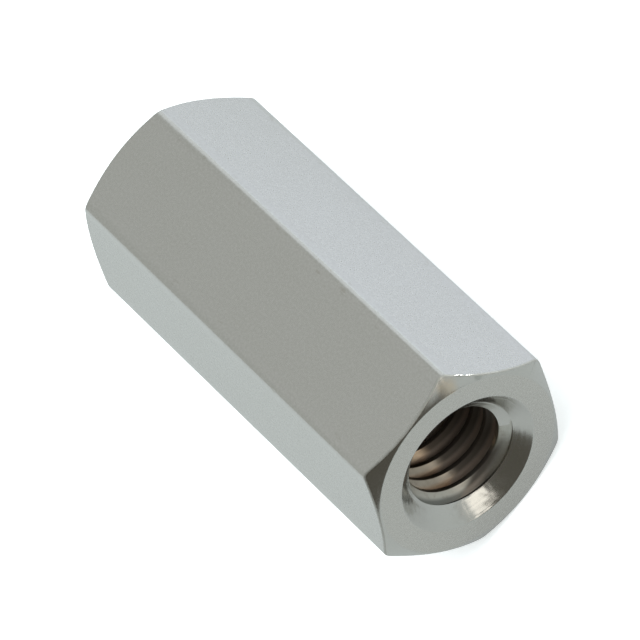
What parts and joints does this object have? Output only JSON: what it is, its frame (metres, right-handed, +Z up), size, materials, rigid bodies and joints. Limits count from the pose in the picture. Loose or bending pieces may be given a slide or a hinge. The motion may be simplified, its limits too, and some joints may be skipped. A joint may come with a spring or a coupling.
{
  "type": "hex standoff",
  "caption": "Female hex standoff: a short turned hexagonal spacer with a metric thread right through, chamfered ends and countersunk mouths.",
  "frame": {"origin": "under the middle of the body, on the surface that it lies on", "axes": "+X along the bore, +Z up through a flat of the hexagon, +Y towards a corner of the hexagon"},
  "size_m": [0.012, 0.0058, 0.005],
  "materials": {
    "nickel_plate": "satin nickel plate over drawn and turned brass"
  },
  "bodies": {
    "root": {"hex_standoff": "nickel_plate"}
  },
  "joints": []
}
